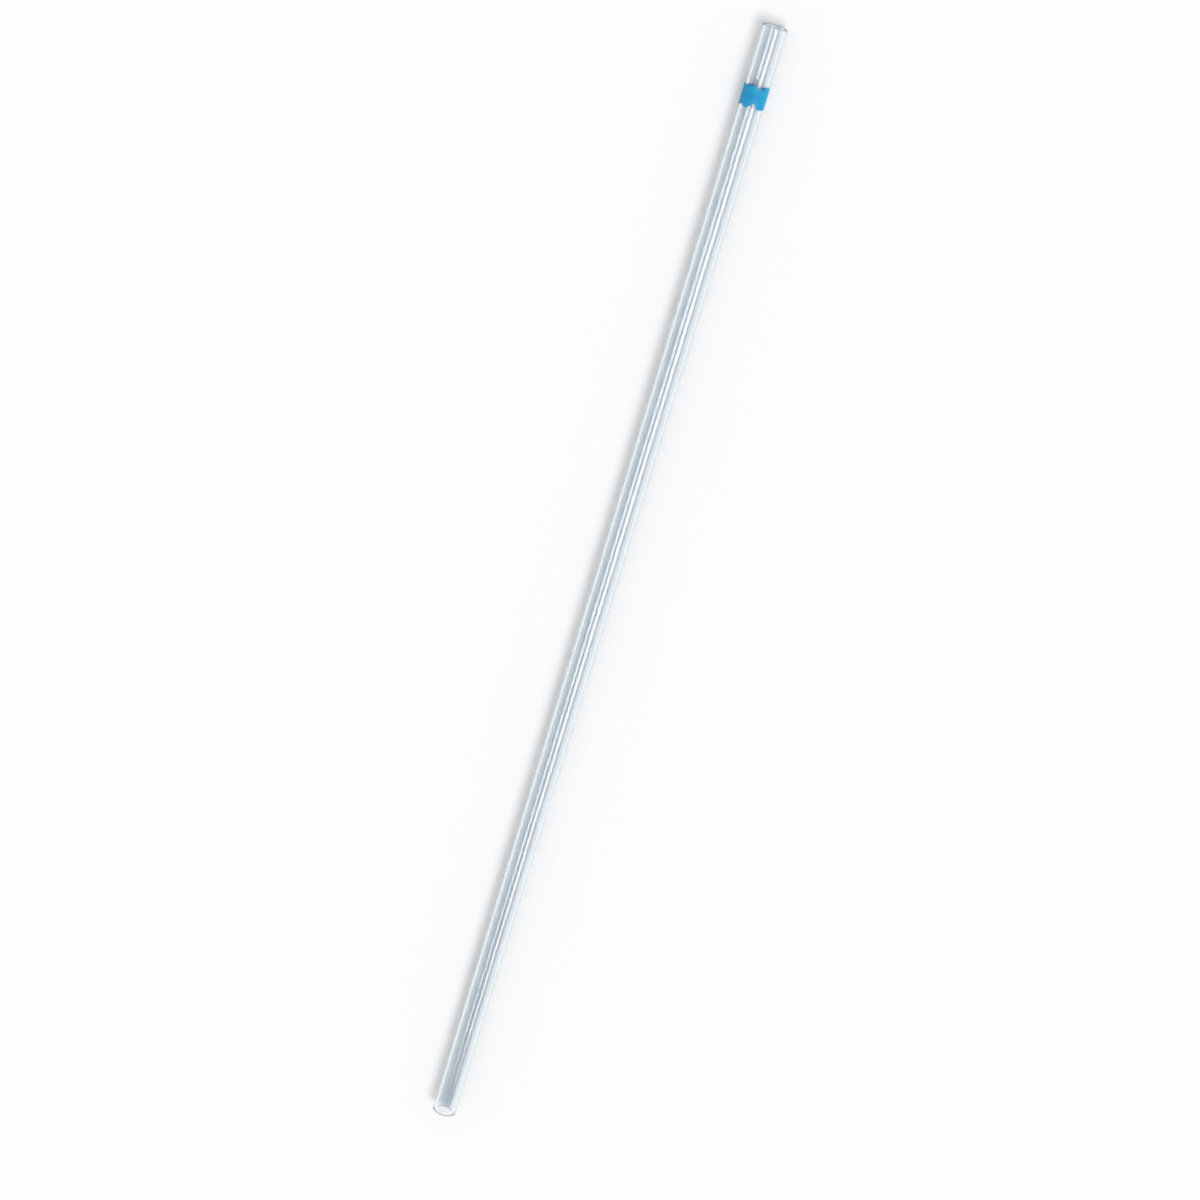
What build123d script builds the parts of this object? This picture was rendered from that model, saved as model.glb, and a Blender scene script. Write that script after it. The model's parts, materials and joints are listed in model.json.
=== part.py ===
"""A micro-haematocrit capillary tube: open at both ends, with a blue colour-code band near one of them.

The tube lies at rest along X, its banded end towards +X. The origin is on the surface that it lies on, under
the middle of its length, and +Z points up. All sizes are in millimetres.
"""

from build123d import *

import os

# The drawn glass
LENGTH = 75.0
BORE_DIAMETER = 1.15
WALL = 0.20
LIP_RADIUS = 0.06  # both corners of each end are rounded in a flame

# The fired ink of the colour code
CLEAR_END = 3.6  # bare glass between the end and the band
BAND_WIDTH = 1.4
BAND_THICKNESS = 0.015
BAND_FEATHER = 0.12  # length over which the ink thins out at each edge of the band

BORE_RADIUS = BORE_DIAMETER / 2
TUBE_RADIUS = BORE_RADIUS + WALL
BAND_RADIUS = TUBE_RADIUS + BAND_THICKNESS
BAND_MIDDLE = LENGTH / 2 - CLEAR_END - BAND_WIDTH / 2

# The band is the tube's highest ring, so the axis lies this far above the surface.
AXIS_HEIGHT = BAND_RADIUS


def glass_tube():
    """One drawn tube, bored right through, with flame-rounded ends."""
    section = Circle(TUBE_RADIUS) - Circle(BORE_RADIUS)
    blank = extrude(section, amount=LENGTH / 2, both=True)
    end_edges = blank.edges().filter_by(GeomType.CIRCLE)
    return fillet(end_edges, LIP_RADIUS)


def colour_band():
    """The ring of ink on the outside of the glass, thinner towards its two edges."""
    half_width = BAND_WIDTH / 2
    half_crown = half_width - BAND_FEATHER
    outline = Polyline(
        (TUBE_RADIUS, -half_width),
        (BAND_RADIUS, -half_crown),
        (BAND_RADIUS, half_crown),
        (TUBE_RADIUS, half_width),
        close=True,
    )
    profile = Plane.XZ * make_face(outline)
    ring = revolve(profile, Axis.Z)
    return Pos(0, 0, BAND_MIDDLE) * ring


def lie_down(piece):
    """Turns a piece made about Z so that it lies along X at the height of the tube's axis."""
    return Pos(0, 0, AXIS_HEIGHT) * Rot(0, 90, 0) * piece


def main():
    os.makedirs("parts", exist_ok=True)
    nodes = {
        "glass_tube": lie_down(glass_tube()),
        "colour_band": lie_down(colour_band()),
    }
    for name, piece in nodes.items():
        export_step(piece, f"parts/{name}.step")


main()
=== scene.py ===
"""The looks of a micro-haematocrit capillary tube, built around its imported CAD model.

Two pieces are made: the drawn glass tube, and the band of blue ink fired on near one of its ends. A stage
with a pale floor, a soft light and a camera is set around them. All lengths are in metres.
"""

import json
import math

import bpy
from bpy.props import (
    FloatProperty,
    FloatVectorProperty,
    IntProperty,
    PointerProperty,
)
from mathutils import Euler, Matrix, Vector


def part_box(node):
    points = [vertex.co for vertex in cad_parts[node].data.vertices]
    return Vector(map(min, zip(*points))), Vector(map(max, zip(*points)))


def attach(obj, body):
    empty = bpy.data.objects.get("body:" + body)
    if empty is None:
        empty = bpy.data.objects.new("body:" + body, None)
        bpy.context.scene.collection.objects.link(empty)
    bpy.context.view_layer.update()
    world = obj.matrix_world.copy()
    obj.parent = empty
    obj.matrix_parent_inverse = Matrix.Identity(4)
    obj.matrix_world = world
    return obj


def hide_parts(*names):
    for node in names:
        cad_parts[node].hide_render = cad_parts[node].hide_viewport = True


bl_info = {
    "name": "Capillary Tube",
    "version": (1, 0, 0),
    "blender": (4, 5, 0),
    "location": "3D Viewport > Sidebar > Capillary Tube",
    "description": "Makes a glass capillary tube with a fired ink band, and a plain stage for it",
    "category": "Add Mesh",
}

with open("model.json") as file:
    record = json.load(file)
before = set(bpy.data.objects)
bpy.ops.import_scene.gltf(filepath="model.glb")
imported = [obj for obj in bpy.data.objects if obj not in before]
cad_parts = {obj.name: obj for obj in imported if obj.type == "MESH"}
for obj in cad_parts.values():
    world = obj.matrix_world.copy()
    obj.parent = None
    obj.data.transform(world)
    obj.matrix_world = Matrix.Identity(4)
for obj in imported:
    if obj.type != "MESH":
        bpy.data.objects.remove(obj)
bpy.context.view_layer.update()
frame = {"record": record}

MM = 0.001
WHITE = (1.0, 1.0, 1.0, 1.0)

# Shading of the long walls is held level by a point this far from each rounded corner
LIP_GUARD = 0.02 * MM
# Points of the ink that are nearer together than this become one
WELD_DISTANCE = 1e-7
# Points of the ink that are nearer than this to its edge lie on the glass
EDGE_NEARNESS = 1e-9

# Scales of the lines and of the mottle, per metre, and how much longer than wide the lines are
GLASS_SURFACE = {"Line Scale": 9000.0, "Mottle Scale": 400.0, "Stretch": 400.0}
INK_SURFACE = {"Line Scale": 2800.0, "Mottle Scale": 2600.0, "Stretch": 8.0}

INK_IOR = 1.5
INK_BUMP_STRENGTH = 0.6
INK_ROUGHNESS_LOW, INK_ROUGHNESS_HIGH = 0.48, 0.66
# How much the lines along the tube add to or take from the ink's cover
INK_STREAK = 0.1

# Noises round the band: how far past the seed the slice lies, and its scale
FAR_EDGE_NOISE = (3.7, 1.3)
NEAR_EDGE_NOISE = (11.3, 1.6)
FRINGE_NOISE = (23.9, 1.3)
# Narrowest and widest fringe, as shares of the fringe in the settings
NARROW_FRINGE, WIDE_FRINGE = 0.3, 1.6
# Noise of the ink's thickness: its scale, its speed along the tube, and the share at its thinnest
PATCH_SCALE = 2.2
PATCH_SPEED = 1400.0
THIN_PATCH = 0.7
# Thickness where the film has run out, as a share of the full thickness
THIN_INK_SHARE = 0.12

FLOOR_REACH = 6.0
FLOOR_ROUGHNESS = 0.9
KEY_TILT = (math.radians(24), math.radians(-14), 0.0)
SENSOR_WIDTH = 36.0
FAR_CLIP = 100.0
NEAR_CLIP_SHARE = 0.1
# Sines of the heights between which white walls give way to the ceiling
WALL_TOP = 0.18
CEILING_EDGE = 0.5
# Light is passed on many times inside the wall of the tube
LIGHT_BOUNCES = 48
CLEAR_BOUNCES = 32
EDGE_SOFTNESS = 2.0


def mount(name):
    """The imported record's mount of that name."""
    return next(m for m in frame["record"]["mounts"] if m["name"] == name)


# Sizes that the frame gives
TUBE_LOW, TUBE_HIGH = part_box("glass_tube")
BAND_LOW, BAND_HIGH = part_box("colour_band")
BORE_RADIUS = mount("bore")["dims"]["r_mm"] * MM
TUBE_RADIUS = mount("outer_wall")["dims"]["r_mm"] * MM
AXIS_HEIGHT = mount("bore")["pos_m"][2]
TUBE_LENGTH = TUBE_HIGH.x - TUBE_LOW.x
BAND_WIDTH = BAND_HIGH.x - BAND_LOW.x
BAND_MIDDLE = (BAND_HIGH.x + BAND_LOW.x) / 2
INK_THICKNESS = BAND_HIGH.z - AXIS_HEIGHT - TUBE_RADIUS


# ---------------------------------------------------------------- helpers for node trees


class NodeBench:
    """Adds nodes to one tree, and joins each input to the socket or the value that it is given."""

    def __init__(self, tree):
        self.tree = tree

    def add(self, kind, inputs=None, **settings):
        node = self.tree.nodes.new(kind)
        for name, value in settings.items():
            setattr(node, name, value)
        for key, value in (inputs or {}).items():
            self.feed(node.inputs[key], value)
        return node

    def feed(self, socket, value):
        if isinstance(value, bpy.types.NodeSocket):
            self.tree.links.new(value, socket)
        else:
            socket.default_value = value

    def math(self, operation, *values):
        node = self.add("ShaderNodeMath", operation=operation)
        for socket, value in zip(node.inputs, values):
            self.feed(socket, value)
        return node.outputs[0]

    def vector(self, x=0.0, y=0.0, z=0.0):
        return self.add("ShaderNodeCombineXYZ", {"X": x, "Y": y, "Z": z}).outputs[0]

    def remap(self, value, low, high, new_low=0.0, new_high=1.0, smooth=False):
        """Stretches the span from low to high over the new one, and holds what lies beyond it."""
        node = self.add(
            "ShaderNodeMapRange",
            {"Value": value, "From Min": low, "From Max": high, "To Min": new_low, "To Max": new_high},
            interpolation_type="SMOOTHSTEP" if smooth else "LINEAR",
        )
        return node.outputs["Result"]

    def noise(self, vector, scale, detail, roughness=0.5):
        node = self.add(
            "ShaderNodeTexNoise",
            {"Vector": vector, "Scale": scale, "Detail": detail, "Roughness": roughness},
        )
        return node.outputs["Fac"]

    def mix_value(self, factor, first, second):
        """The first number where the factor is 0, and the second where it is 1."""
        node = self.add("ShaderNodeMix", {0: factor, 2: first, 3: second}, data_type="FLOAT")
        return node.outputs[0]

    def mix_colour(self, factor, first, second):
        """The first colour where the factor is 0, and the second where it is 1."""
        node = self.add("ShaderNodeMix", {0: factor, 6: first, 7: second}, data_type="RGBA")
        return node.outputs[2]


def group_inputs(tree, sockets):
    """Adds inputs to a tree, from (name, socket type), and returns {name: identifier}."""
    return {
        name: tree.interface.new_socket(name, in_out="INPUT", socket_type=kind).identifier
        for name, kind in sockets
    }


def plain_mesh(name, tree, identifiers, values):
    """Evaluates a geometry tree once with these input values, and returns its result as an object."""
    maker = bpy.data.objects.new(name + ".maker", bpy.data.meshes.new(name + ".maker"))
    bpy.context.scene.collection.objects.link(maker)
    modifier = maker.modifiers.new(tree.name, "NODES")
    modifier.node_group = tree
    for key, value in values.items():
        modifier[identifiers[key]] = value
    depsgraph = bpy.context.evaluated_depsgraph_get()
    mesh = bpy.data.meshes.new_from_object(maker.evaluated_get(depsgraph), depsgraph=depsgraph)
    maker.modifiers.remove(modifier)
    bpy.data.objects.remove(maker)
    mesh.name = name
    mesh.materials.clear()
    mesh.materials.append(values["Material"])
    slot_numbers = mesh.attributes.get("material_index")
    if slot_numbers:
        mesh.attributes.remove(slot_numbers)
    piece = bpy.data.objects.new(name, mesh)
    bpy.context.scene.collection.objects.link(piece)
    if not mesh.polygons:
        raise RuntimeError(f"{name} came out empty")
    return piece


# ---------------------------------------------------------------- materials


def drawn_surface_group():
    """Shader group: the faint lines that drawing leaves along the glass, and a cloudy mottle.

    The glass and the ink on it share both, because the ink follows the glass that it lies on.
    """
    tree = bpy.data.node_groups.new("Drawn Surface", "ShaderNodeTree")
    for name in ("Line Scale", "Mottle Scale", "Stretch"):
        tree.interface.new_socket(name, in_out="INPUT", socket_type="NodeSocketFloat")
    for name in ("Lines", "Mottle"):
        tree.interface.new_socket(name, in_out="OUTPUT", socket_type="NodeSocketFloat")
    bench = NodeBench(tree)
    given = bench.add("NodeGroupInput").outputs
    place = bench.add("ShaderNodeTexCoord").outputs["Object"]
    parts = bench.add("ShaderNodeSeparateXYZ", {"Vector": place}).outputs
    along = bench.math("DIVIDE", parts["X"], given["Stretch"])
    drawn = bench.vector(along, parts["Y"], parts["Z"])
    result = bench.add("NodeGroupOutput")
    bench.feed(result.inputs["Lines"], bench.noise(drawn, given["Line Scale"], detail=1.5))
    mottle = bench.noise(place, given["Mottle Scale"], detail=4.0, roughness=0.6)
    bench.feed(result.inputs["Mottle"], mottle)
    return tree


def drawn_surface(bench, scales):
    """Places the shared group in a material, built the first time, and returns its outputs."""
    tree = bpy.data.node_groups.get("Drawn Surface") or drawn_surface_group()
    return bench.add("ShaderNodeGroup", scales, node_tree=tree).outputs


def clear_glass(settings):
    """Clear soda-lime glass: smooth, faintly cool in its depth, with the lines of drawing."""
    material = bpy.data.materials.new("drawn_clear_glass")
    material.use_nodes = True
    bench = NodeBench(material.node_tree)
    shader = material.node_tree.nodes["Principled BSDF"]
    shader.inputs["Base Color"].default_value = (*settings.glass_colour, 1.0)
    shader.inputs["Transmission Weight"].default_value = 1.0
    shader.inputs["IOR"].default_value = settings.glass_ior
    surface = drawn_surface(bench, GLASS_SURFACE)
    roughness = bench.remap(surface["Mottle"], 0.35, 0.75, 0.0, settings.glass_haze)
    bench.feed(shader.inputs["Roughness"], roughness)
    bump = bench.add(
        "ShaderNodeBump",
        {"Strength": 1.0, "Distance": settings.draw_line_depth, "Height": surface["Lines"]},
    )
    bench.feed(shader.inputs["Normal"], bump.outputs["Normal"])
    absorb = bench.add("ShaderNodeVolumeAbsorption")
    absorb.inputs["Color"].default_value = (*settings.depth_colour, 1.0)
    absorb.inputs["Density"].default_value = settings.depth_density
    output = material.node_tree.nodes["Material Output"]
    bench.feed(output.inputs["Volume"], absorb.outputs["Volume"])
    return material


def fired_ink(settings):
    """Cyan-blue fired ink: opaque where it is thick, and lighter and see-through where it thins out."""
    material = bpy.data.materials.new("fired_blue_ink")
    material.use_nodes = True
    bench = NodeBench(material.node_tree)
    shader = material.node_tree.nodes["Principled BSDF"]
    shader.inputs["IOR"].default_value = INK_IOR
    shader.inputs["Subsurface Weight"].default_value = settings.ink_glow
    shader.inputs["Subsurface Scale"].default_value = settings.ink_soak
    shader.inputs["Subsurface Radius"].default_value = (1.0, 1.0, 1.0)
    surface = drawn_surface(bench, INK_SURFACE)
    film = bench.add("ShaderNodeAttribute", attribute_name="ink_film").outputs["Fac"]

    depth = bench.remap(surface["Mottle"], 0.35, 0.68)
    tone = bench.mix_colour(depth, (*settings.ink_light, 1.0), (*settings.ink_deep, 1.0))
    body_share = bench.remap(film, 0.2, 0.8)
    colour = bench.mix_colour(body_share, (*settings.ink_thin, 1.0), tone)
    bench.feed(shader.inputs["Base Color"], colour)

    streak = bench.remap(surface["Lines"], 0.3, 0.7, -INK_STREAK, INK_STREAK)
    body = bench.math("ADD", film, streak)
    cover = bench.remap(body, 0.0, 0.8, 0.0, settings.ink_cover, smooth=True)
    bench.feed(shader.inputs["Alpha"], cover)

    roughness = bench.remap(surface["Mottle"], 0.3, 0.7, INK_ROUGHNESS_LOW, INK_ROUGHNESS_HIGH)
    bench.feed(shader.inputs["Roughness"], roughness)
    bump = bench.add(
        "ShaderNodeBump",
        {"Strength": INK_BUMP_STRENGTH, "Distance": settings.ink_relief, "Height": surface["Mottle"]},
    )
    bench.feed(shader.inputs["Normal"], bump.outputs["Normal"])
    return material


# ---------------------------------------------------------------- geometry


def end_tree(bench, geometry, material):
    """Ends a geometry tree with smooth shading, real geometry and the piece's material."""
    smooth = bench.add("GeometryNodeSetShadeSmooth", {"Geometry": geometry})
    real = bench.add("GeometryNodeRealizeInstances", {"Geometry": smooth.outputs["Geometry"]})
    finished = bench.add(
        "GeometryNodeSetMaterial", {"Geometry": real.outputs["Geometry"], "Material": material}
    )
    bench.add("NodeGroupOutput", {"Geometry": finished.outputs["Geometry"]})


def rounded_wall_section(bench, given):
    """The closed outline of the tube's wall, long side along Y and middle at the origin, as a curve.

    Each corner is an arc, with one more point on either side of it that keeps the shading of the long
    walls level. The outline's points are worked out from their index.
    """
    steps = given["Lip Steps"]
    corner_points = bench.math("ADD", steps, 3.0)
    count = bench.math("MULTIPLY", corner_points, 4.0)
    circle = bench.add("GeometryNodeCurvePrimitiveCircle", {"Resolution": count})
    index = bench.add("GeometryNodeInputIndex").outputs[0]
    shifted = bench.math("ADD", index, 0.5)
    corner = bench.math("FLOOR", bench.math("DIVIDE", shifted, corner_points))
    place = bench.math("SUBTRACT", index, bench.math("MULTIPLY", corner, corner_points))

    turn = bench.math("DIVIDE", bench.math("SUBTRACT", place, 1.0), steps)
    turn = bench.add("ShaderNodeClamp", {"Value": turn}).outputs[0]
    quarters = bench.math("ADD", corner, turn)
    angle = bench.math("MULTIPLY", quarters, math.pi / 2)
    cosine, sine = bench.math("COSINE", angle), bench.math("SINE", angle)
    middle = bench.math("MULTIPLY", bench.math("ADD", corner, 0.5), math.pi / 2)
    side_x = bench.math("SIGN", bench.math("COSINE", middle))
    side_y = bench.math("SIGN", bench.math("SINE", middle))

    # -1 at a corner's first point, +1 at its last, 0 on the arc
    past_end = bench.math("GREATER_THAN", place, bench.math("ADD", steps, 1.5))
    before_start = bench.math("LESS_THAN", place, 0.5)
    slide = bench.math("MULTIPLY", bench.math("SUBTRACT", past_end, before_start), given["Lip Guard"])

    def coordinate(side, size, along_arc, along_tangent):
        centre = bench.math("SUBTRACT", bench.math("MULTIPLY", size, 0.5), given["Lip Radius"])
        centre = bench.math("MULTIPLY", side, centre)
        arc = bench.math("MULTIPLY", given["Lip Radius"], along_arc)
        guard = bench.math("MULTIPLY", slide, along_tangent)
        return bench.math("ADD", bench.math("ADD", centre, arc), guard)

    x = coordinate(side_x, given["Wall"], cosine, bench.math("MULTIPLY", sine, -1.0))
    y = coordinate(side_y, given["Length"], sine, cosine)
    placed = bench.add(
        "GeometryNodeSetPosition",
        {"Geometry": circle.outputs["Curve"], "Position": bench.vector(x, y)},
    )
    return placed.outputs["Geometry"]


def drawn_tube_tree():
    """Geometry tree: the wall's section, carried round a circle and laid along X."""
    tree = bpy.data.node_groups.new("Drawn Tube", "GeometryNodeTree")
    identifiers = group_inputs(
        tree,
        [
            ("Length", "NodeSocketFloat"),
            ("Outer Radius", "NodeSocketFloat"),
            ("Wall", "NodeSocketFloat"),
            ("Axis Height", "NodeSocketFloat"),
            ("Lip Radius", "NodeSocketFloat"),
            ("Lip Guard", "NodeSocketFloat"),
            ("Lip Steps", "NodeSocketInt"),
            ("Sides", "NodeSocketInt"),
            ("Material", "NodeSocketMaterial"),
        ],
    )
    tree.interface.new_socket("Geometry", in_out="OUTPUT", socket_type="NodeSocketGeometry")
    bench = NodeBench(tree)
    given = bench.add("NodeGroupInput").outputs
    section = rounded_wall_section(bench, given)
    half_wall = bench.math("MULTIPLY", given["Wall"], 0.5)
    middle_radius = bench.math("SUBTRACT", given["Outer Radius"], half_wall)
    path = bench.add(
        "GeometryNodeCurvePrimitiveCircle", {"Resolution": given["Sides"], "Radius": middle_radius}
    )
    tube = bench.add(
        "GeometryNodeCurveToMesh", {"Curve": path.outputs["Curve"], "Profile Curve": section}
    )
    laid = bench.add(
        "GeometryNodeTransform",
        {
            "Geometry": tube.outputs["Mesh"],
            "Translation": bench.vector(0.0, 0.0, given["Axis Height"]),
            "Rotation": (0.0, math.pi / 2, 0.0),
        },
    )
    end_tree(bench, laid.outputs["Geometry"], given["Material"])
    return tree, identifiers


def ragged_band_tree():
    """Geometry tree: a thin closed ring of ink whose edges and thickness wander round the tube.

    A grid's rows go across the band on its outside and back on its inside, and its columns go round.
    The attribute ink_film is 1 where the ink is thick and falls to 0 at the edges.
    """
    tree = bpy.data.node_groups.new("Ragged Ink Band", "GeometryNodeTree")
    identifiers = group_inputs(
        tree,
        [
            ("Middle", "NodeSocketFloat"),
            ("Width", "NodeSocketFloat"),
            ("Glass Radius", "NodeSocketFloat"),
            ("Axis Height", "NodeSocketFloat"),
            ("Thickness", "NodeSocketFloat"),
            ("Sunk", "NodeSocketFloat"),
            ("Wander", "NodeSocketFloat"),
            ("Fringe", "NodeSocketFloat"),
            ("Seed", "NodeSocketFloat"),
            ("Rows", "NodeSocketInt"),
            ("Sides", "NodeSocketInt"),
            ("Material", "NodeSocketMaterial"),
        ],
    )
    tree.interface.new_socket("Geometry", in_out="OUTPUT", socket_type="NodeSocketGeometry")
    bench = NodeBench(tree)
    given = bench.add("NodeGroupInput").outputs
    rows = bench.math("ADD", bench.math("MULTIPLY", given["Rows"], 2.0), 1.0)
    columns = bench.math("ADD", given["Sides"], 1.0)
    grid = bench.add("GeometryNodeMeshGrid", {"Vertices X": rows, "Vertices Y": columns})
    index = bench.add("GeometryNodeInputIndex").outputs[0]
    row = bench.math("FLOOR", bench.math("DIVIDE", bench.math("ADD", index, 0.5), columns))
    column = bench.math("SUBTRACT", index, bench.math("MULTIPLY", row, columns))
    angle = bench.math("MULTIPLY", bench.math("DIVIDE", column, given["Sides"]), -math.tau)
    cosine, sine = bench.math("COSINE", angle), bench.math("SINE", angle)

    # across runs from -1 to 1 on the outside, and back to -1 on the inside
    lap = bench.math("DIVIDE", row, given["Rows"])
    across = bench.math("SUBTRACT", 1.0, bench.math("ABSOLUTE", bench.math("SUBTRACT", lap, 1.0)))
    across = bench.math("SUBTRACT", bench.math("MULTIPLY", across, 2.0), 1.0)
    inside = bench.math("GREATER_THAN", lap, 1.0)
    far_side = bench.math("GREATER_THAN", across, 0.0)

    def wander(slice_offset, scale):
        """Noise from -1 to 1 that closes on itself round the tube."""
        level = bench.math("ADD", given["Seed"], slice_offset)
        noise = bench.noise(bench.vector(cosine, sine, level), scale, detail=2.0, roughness=0.55)
        return bench.remap(noise, 0.25, 0.75, -1.0, 1.0)

    far_edge = wander(*FAR_EDGE_NOISE)
    near_edge = wander(*NEAR_EDGE_NOISE)
    edge = bench.mix_value(far_side, near_edge, far_edge)
    edge_shift = bench.math("MULTIPLY", edge, given["Wander"])
    half = bench.math("ADD", bench.math("MULTIPLY", given["Width"], 0.5), edge_shift)
    x = bench.math("ADD", given["Middle"], bench.math("MULTIPLY", across, half))

    reach = bench.math("ABSOLUTE", across)
    from_edge = bench.math("MULTIPLY", bench.math("SUBTRACT", 1.0, reach), half)
    # the fringe is wide where the brush lifted off, and narrow elsewhere
    lift_off = bench.remap(wander(*FRINGE_NOISE), -0.6, 0.8, NARROW_FRINGE, WIDE_FRINGE)
    fringe = bench.math("MULTIPLY", given["Fringe"], lift_off)
    rise = bench.remap(from_edge, 0.0, fringe, smooth=True)
    patches = bench.vector(cosine, sine, bench.math("MULTIPLY", x, PATCH_SPEED))
    uneven = bench.remap(bench.noise(patches, PATCH_SCALE, detail=3.0), 0.3, 0.7, THIN_PATCH, 1.0)
    film = bench.math("MULTIPLY", rise, uneven)
    share = bench.remap(film, 0.0, 1.0, THIN_INK_SHARE, 1.0)
    crown = bench.math("MULTIPLY", given["Thickness"], share)
    lift = bench.mix_value(inside, crown, bench.math("MULTIPLY", given["Sunk"], -1.0))
    # both surfaces meet on the glass at the two edges
    at_edge = bench.math("LESS_THAN", from_edge, EDGE_NEARNESS)
    off_edge = bench.math("SUBTRACT", 1.0, at_edge)
    lift = bench.math("MULTIPLY", lift, off_edge)
    radius = bench.math("ADD", given["Glass Radius"], lift)
    y = bench.math("MULTIPLY", radius, cosine)
    z = bench.math("ADD", given["Axis Height"], bench.math("MULTIPLY", radius, sine))

    stored = bench.add(
        "GeometryNodeStoreNamedAttribute",
        {"Geometry": grid.outputs["Mesh"], "Name": "ink_film", "Value": film},
        data_type="FLOAT",
        domain="POINT",
    )
    placed = bench.add(
        "GeometryNodeSetPosition",
        {"Geometry": stored.outputs["Geometry"], "Position": bench.vector(x, y, z)},
    )
    closed = bench.add(
        "GeometryNodeMergeByDistance",
        {"Geometry": placed.outputs["Geometry"], "Distance": WELD_DISTANCE},
    )
    end_tree(bench, closed.outputs["Geometry"], given["Material"])
    return tree, identifiers


# ---------------------------------------------------------------- settings


class CapillaryGlassSettings(bpy.types.PropertyGroup):
    """Sizes and finish of the glass tube."""

    length: FloatProperty(
        name="Length",
        description="Length of the tube",
        default=TUBE_LENGTH,
        unit="LENGTH",
    )
    outer_radius: FloatProperty(
        name="Outer Radius", description="Radius of the outer wall", default=TUBE_RADIUS, unit="LENGTH"
    )
    bore_radius: FloatProperty(
        name="Bore Radius", description="Radius of the bore", default=BORE_RADIUS, unit="LENGTH"
    )
    lip_radius: FloatProperty(
        name="Lip Radius",
        description="Rounding that the flame leaves on each corner of the ends",
        default=0.06 * MM,
        unit="LENGTH",
    )
    lip_steps: IntProperty(
        name="Lip Steps",
        description="Faces across each rounded corner",
        default=6,
        min=2,
    )
    sides: IntProperty(name="Sides", description="Faces round the tube", default=256, min=32)
    glass_colour: FloatVectorProperty(
        name="Surface Tint",
        description="Tint of what passes the glass surface",
        default=(0.975, 0.99, 1.0),
        subtype="COLOR",
        min=0.0,
        max=1.0,
    )
    depth_colour: FloatVectorProperty(
        name="Depth Tint",
        description="Colour that long paths through the glass take on",
        default=(0.35, 0.72, 0.88),
        subtype="COLOR",
        min=0.0,
        max=1.0,
    )
    depth_density: FloatProperty(
        name="Depth Density",
        description="How soon the depth tint shows, per metre",
        default=260.0,
        min=0.0,
    )
    glass_ior: FloatProperty(
        name="IOR",
        description="Refraction of soda-lime glass",
        default=1.52,
        min=1.0,
    )
    glass_haze: FloatProperty(
        name="Haze", description="Largest roughness of the flame-bright surface", default=0.02, min=0.0
    )
    draw_line_depth: FloatProperty(
        name="Draw Line Depth",
        description="Depth of the faint lines along the glass",
        default=0.0004 * MM,
        unit="LENGTH",
        precision=6,
    )


class CapillaryInkSettings(bpy.types.PropertyGroup):
    """Sizes and finish of the colour-code band."""

    middle: FloatProperty(
        name="Middle", description="Place of the band along the tube", default=BAND_MIDDLE, unit="LENGTH"
    )
    width: FloatProperty(
        name="Width",
        description="Mean width of the band",
        default=BAND_WIDTH,
        unit="LENGTH",
    )
    thickness: FloatProperty(
        name="Thickness",
        description="Thickness of the ink",
        default=INK_THICKNESS,
        unit="LENGTH",
        precision=6,
    )
    sunk: FloatProperty(
        name="Sunk",
        description="How far the ink has fused into the glass",
        default=0.003 * MM,
        unit="LENGTH",
        precision=6,
    )
    wander: FloatProperty(
        name="Wander",
        description="How far the edges wander",
        default=0.2 * MM,
        unit="LENGTH",
        precision=6,
    )
    fringe: FloatProperty(
        name="Fringe",
        description="Width over which the ink thins out",
        default=0.3 * MM,
        unit="LENGTH",
        precision=6,
    )
    seed: FloatProperty(name="Seed", description="Picks another set of ragged edges", default=5.0)
    rows: IntProperty(name="Rows", description="Faces across the band", default=44, min=8)
    sides: IntProperty(name="Sides", description="Faces round the band", default=320, min=32)
    ink_light: FloatVectorProperty(
        name="Light Ink",
        description="Ink where it is well covered",
        default=(0.006, 0.50, 0.88),
        subtype="COLOR",
    )
    ink_deep: FloatVectorProperty(
        name="Deep Ink",
        description="Ink where it is thickest",
        default=(0.006, 0.36, 0.80),
        subtype="COLOR",
    )
    ink_thin: FloatVectorProperty(
        name="Thin Ink", description="Ink where it thins out", default=(0.14, 0.58, 0.92), subtype="COLOR"
    )
    ink_cover: FloatProperty(
        name="Cover", description="How much the thickest ink hides", default=0.84, min=0.0, max=1.0
    )
    ink_glow: FloatProperty(
        name="Glow",
        description="Share of the light that soaks into the ink",
        default=1.0,
        min=0.0,
        max=1.0,
    )
    ink_soak: FloatProperty(
        name="Soak",
        description="How deep light soaks into the ink",
        default=0.045 * MM,
        unit="LENGTH",
        precision=6,
    )
    ink_relief: FloatProperty(
        name="Ink Relief",
        description="Depth of the ink's grain",
        default=0.004 * MM,
        unit="LENGTH",
        precision=6,
    )


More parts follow.
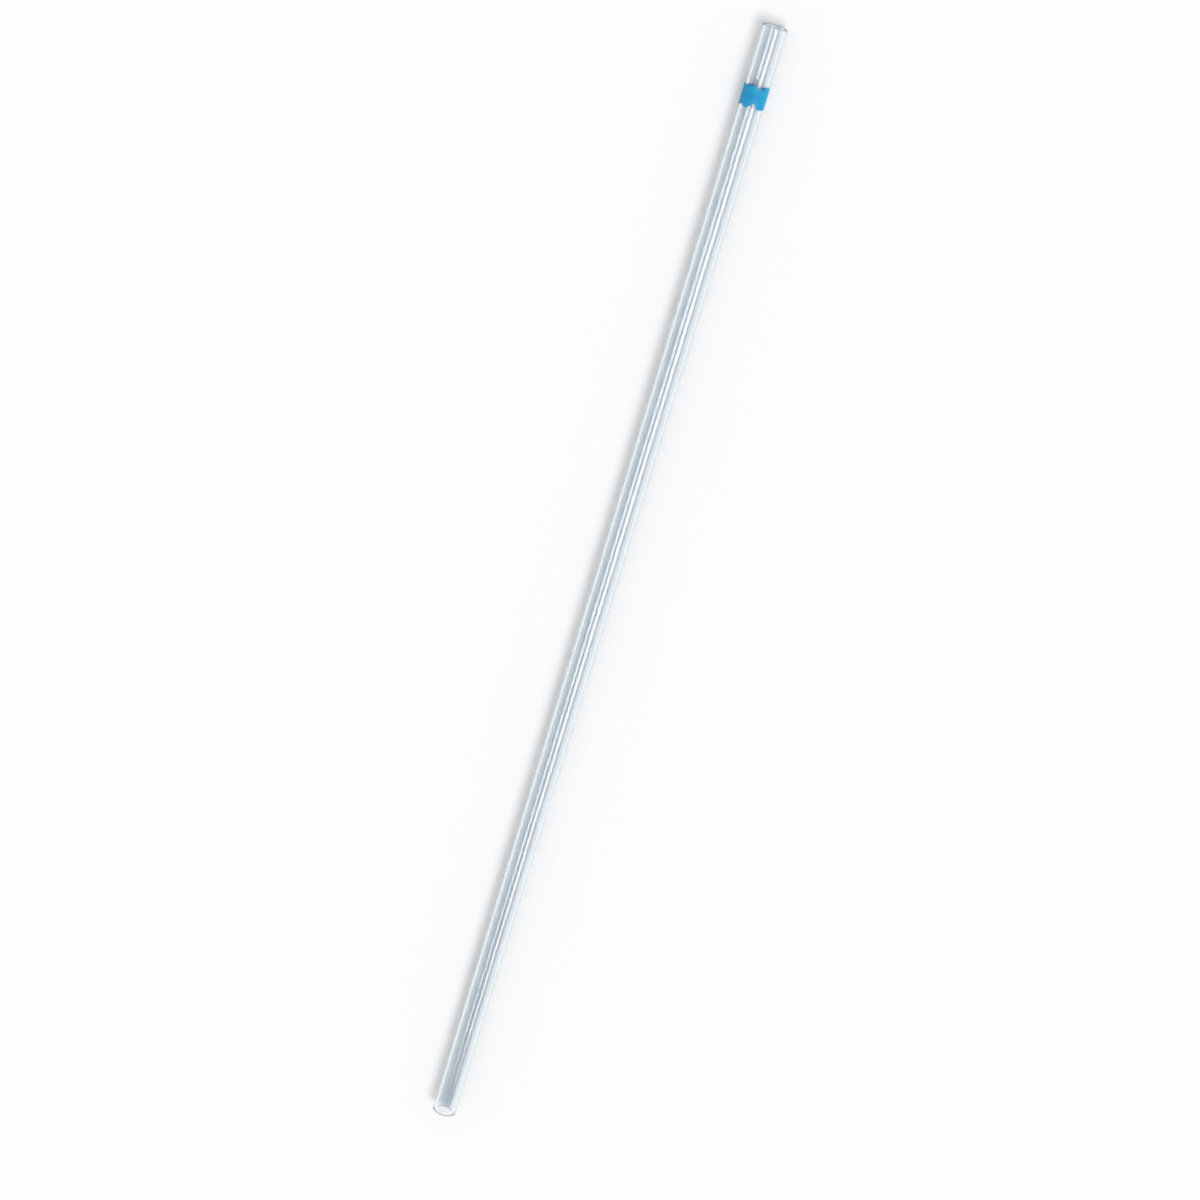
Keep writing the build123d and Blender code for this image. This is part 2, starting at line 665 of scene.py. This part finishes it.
class CapillaryStageSettings(bpy.types.PropertyGroup):
    """Floor, light and camera."""

    floor_colour: FloatVectorProperty(
        name="Floor", description="Colour of the floor", default=(0.82, 0.805, 0.795), subtype="COLOR"
    )
    room_colour: FloatVectorProperty(
        name="Room",
        description="Light of the room from all sides",
        default=(0.52, 0.54, 0.56),
        subtype="COLOR",
    )
    ceiling_colour: FloatVectorProperty(
        name="Ceiling",
        description="What glass mirrors from above",
        default=(0.33, 0.38, 0.44),
        subtype="COLOR",
    )
    floor_lift: FloatProperty(
        name="Floor Lift", description="Adds white to the floor for the viewer", default=0.21, min=0.0
    )
    key_strength: FloatProperty(
        name="Key Strength", description="Strength of the soft overhead light", default=1.5, min=0.0
    )
    key_spread: FloatProperty(
        name="Key Spread",
        description="How wide the soft light is",
        default=math.radians(30),
        subtype="ANGLE",
    )
    view_angle: FloatProperty(
        name="View Angle",
        description="Angle between the line of sight and the tube's axis",
        default=math.radians(71),
        subtype="ANGLE",
    )
    lean: FloatProperty(
        name="Lean",
        description="How far the tube leans in the picture",
        default=math.radians(17),
        subtype="ANGLE",
    )
    lens: FloatProperty(name="Lens", description="Focal length in millimetres", default=100.0, min=10.0)
    fill: FloatProperty(
        name="Fill",
        description="Share of the picture's height that the tube takes",
        default=0.9,
        min=0.1,
        max=1.0,
    )


# ---------------------------------------------------------------- operators


class CAPILLARY_OT_draw_tube(bpy.types.Operator):
    """Make the drawn glass tube with its flame-rounded ends"""

    bl_idname = "capillary.draw_tube"
    bl_label = "Draw Glass Tube"
    bl_options = {"REGISTER", "UNDO"}

    def execute(self, context):
        settings = context.scene.capillary_glass
        material = clear_glass(settings)
        tree, identifiers = drawn_tube_tree()
        tube = plain_mesh(
            "glass_tube_drawn",
            tree,
            identifiers,
            {
                "Length": settings.length,
                "Outer Radius": settings.outer_radius,
                "Wall": settings.outer_radius - settings.bore_radius,
                "Axis Height": AXIS_HEIGHT,
                "Lip Radius": settings.lip_radius,
                "Lip Guard": LIP_GUARD,
                "Lip Steps": settings.lip_steps,
                "Sides": settings.sides,
                "Material": material,
            },
        )
        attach(tube, "root")
        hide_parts("glass_tube")
        return {"FINISHED"}


class CAPILLARY_OT_fire_band(bpy.types.Operator):
    """Make the ragged band of fired ink"""

    bl_idname = "capillary.fire_band"
    bl_label = "Fire Colour Band"
    bl_options = {"REGISTER", "UNDO"}

    def execute(self, context):
        settings = context.scene.capillary_ink
        material = fired_ink(settings)
        tree, identifiers = ragged_band_tree()
        band = plain_mesh(
            "colour_band_fired",
            tree,
            identifiers,
            {
                "Middle": settings.middle,
                "Width": settings.width,
                "Glass Radius": context.scene.capillary_glass.outer_radius,
                "Axis Height": AXIS_HEIGHT,
                "Thickness": settings.thickness,
                "Sunk": settings.sunk,
                "Wander": settings.wander,
                "Fringe": settings.fringe,
                "Seed": settings.seed,
                "Rows": settings.rows,
                "Sides": settings.sides,
                "Material": material,
            },
        )
        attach(band, "root")
        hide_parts("colour_band")
        return {"FINISHED"}


def seen_ray(bench):
    """1 for rays that a viewer sees directly, mirrored or through glass, and 0 for the rest."""
    path = bench.add("ShaderNodeLightPath").outputs
    mirrored = bench.math("MAXIMUM", path["Is Glossy Ray"], path["Is Transmission Ray"])
    return bench.math("MAXIMUM", path["Is Camera Ray"], mirrored)


def pale_floor(settings):
    """A matt pale floor, lifted to white for the viewer, with its shadows kept."""
    material = bpy.data.materials.new("pale_floor")
    material.use_nodes = True
    bench = NodeBench(material.node_tree)
    shader = material.node_tree.nodes["Principled BSDF"]
    shader.inputs["Base Color"].default_value = (*settings.floor_colour, 1.0)
    shader.inputs["Roughness"].default_value = FLOOR_ROUGHNESS
    shader.inputs["Specular IOR Level"].default_value = 0.0
    shader.inputs["Emission Color"].default_value = WHITE
    lift = bench.math("MULTIPLY", seen_ray(bench), settings.floor_lift)
    bench.feed(shader.inputs["Emission Strength"], lift)
    return material


def room_light(settings):
    """Even light from all sides. Glass mirrors white walls low down and a darker ceiling above them."""
    world = bpy.data.worlds.new("room")
    world.use_nodes = True
    world.node_tree.nodes.clear()
    bench = NodeBench(world.node_tree)
    path = bench.add("ShaderNodeLightPath").outputs
    direction = bench.add("ShaderNodeTexCoord").outputs["Generated"]
    height = bench.add("ShaderNodeSeparateXYZ", {"Vector": direction}).outputs["Z"]
    above = bench.remap(height, WALL_TOP, CEILING_EDGE, smooth=True)
    mirrored = bench.mix_colour(above, WHITE, (*settings.ceiling_colour, 1.0))
    in_glass = bench.math("MAXIMUM", path["Is Glossy Ray"], path["Is Transmission Ray"])
    light = bench.mix_colour(in_glass, (*settings.room_colour, 1.0), mirrored)
    colour = bench.mix_colour(path["Is Camera Ray"], light, WHITE)
    background = bench.add("ShaderNodeBackground", {"Color": colour, "Strength": 1.0})
    bench.add("ShaderNodeOutputWorld", {"Surface": background.outputs[0]})
    return world


class CAPILLARY_OT_set_stage(bpy.types.Operator):
    """Set the floor, the light and the camera around the tube"""

    bl_idname = "capillary.set_stage"
    bl_label = "Set Stage"
    bl_options = {"REGISTER", "UNDO"}

    def execute(self, context):
        settings = context.scene.capillary_stage
        scene = context.scene
        self.lay_floor(scene, settings)
        self.hang_key(scene, settings)
        scene.world = room_light(settings)
        self.place_camera(scene, settings)
        self.set_render(scene)
        return {"FINISHED"}

    def lay_floor(self, scene, settings):
        mesh = bpy.data.meshes.new("floor")
        signs = ((-1, -1), (1, -1), (1, 1), (-1, 1))
        corners = [(x * FLOOR_REACH, y * FLOOR_REACH, 0) for x, y in signs]
        mesh.from_pydata(corners, [], [(0, 1, 2, 3)])
        mesh.materials.append(pale_floor(settings))
        floor = bpy.data.objects.new("floor", mesh)
        scene.collection.objects.link(floor)

    def hang_key(self, scene, settings):
        lamp = bpy.data.lights.new("key", "SUN")
        lamp.energy = settings.key_strength
        lamp.angle = settings.key_spread
        key = bpy.data.objects.new("key", lamp)
        key.rotation_euler = Euler(KEY_TILT)
        scene.collection.objects.link(key)

    def place_camera(self, scene, settings):
        tube = scene.capillary_glass
        lens = bpy.data.cameras.new("camera")
        lens.lens = settings.lens
        lens.sensor_width = SENSOR_WIDTH
        camera = bpy.data.objects.new("camera", lens)
        scene.collection.objects.link(camera)
        back = Vector((math.cos(settings.view_angle), 0.0, math.sin(settings.view_angle)))
        up = Vector((math.sin(settings.view_angle), 0.0, -math.cos(settings.view_angle)))
        turned_up = Matrix.Rotation(settings.lean, 3, back) @ up
        turned_right = turned_up.cross(back)
        shown = tube.length * math.sin(settings.view_angle) * math.cos(settings.lean)
        half_angle = math.atan(lens.sensor_width / 2 / lens.lens)
        distance = shown / 2 / settings.fill / math.tan(half_angle)
        rotation = Matrix((turned_right, turned_up, back)).transposed()
        camera.matrix_world = (
            Matrix.Translation(Vector((0.0, 0.0, AXIS_HEIGHT)) + back * distance) @ rotation.to_4x4()
        )
        lens.clip_start = distance * NEAR_CLIP_SHARE
        lens.clip_end = FAR_CLIP
        scene.camera = camera

    def set_render(self, scene):
        scene.view_settings.view_transform = "Standard"
        scene.cycles.filter_width = EDGE_SOFTNESS
        scene.cycles.max_bounces = LIGHT_BOUNCES
        scene.cycles.glossy_bounces = LIGHT_BOUNCES
        scene.cycles.transmission_bounces = LIGHT_BOUNCES
        scene.cycles.transparent_max_bounces = CLEAR_BOUNCES


class CAPILLARY_PT_sidebar(bpy.types.Panel):
    """Lists the tube's settings and the buttons that make it"""

    bl_label = "Capillary Tube"
    bl_idname = "CAPILLARY_PT_sidebar"
    bl_space_type = "VIEW_3D"
    bl_region_type = "UI"
    bl_category = "Capillary Tube"

    def draw(self, context):
        scene = context.scene
        for settings, operator in (
            (scene.capillary_glass, CAPILLARY_OT_draw_tube),
            (scene.capillary_ink, CAPILLARY_OT_fire_band),
            (scene.capillary_stage, CAPILLARY_OT_set_stage),
        ):
            box = self.layout.box()
            for name in settings.__annotations__:
                box.prop(settings, name)
            box.operator(operator.bl_idname)


SETTINGS = {
    "capillary_glass": CapillaryGlassSettings,
    "capillary_ink": CapillaryInkSettings,
    "capillary_stage": CapillaryStageSettings,
}
CLASSES = (
    *SETTINGS.values(),
    CAPILLARY_OT_draw_tube,
    CAPILLARY_OT_fire_band,
    CAPILLARY_OT_set_stage,
    CAPILLARY_PT_sidebar,
)


def register():
    for cls in CLASSES:
        bpy.utils.register_class(cls)
    for name, cls in SETTINGS.items():
        setattr(bpy.types.Scene, name, PointerProperty(type=cls))


def unregister():
    for name in SETTINGS:
        delattr(bpy.types.Scene, name)
    for cls in reversed(CLASSES):
        bpy.utils.unregister_class(cls)


def main():
    """Registers the add-on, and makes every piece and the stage."""
    register()
    bpy.ops.capillary.draw_tube()
    bpy.ops.capillary.fire_band()
    bpy.ops.capillary.set_stage()


if __name__ == "__main__":
    main()
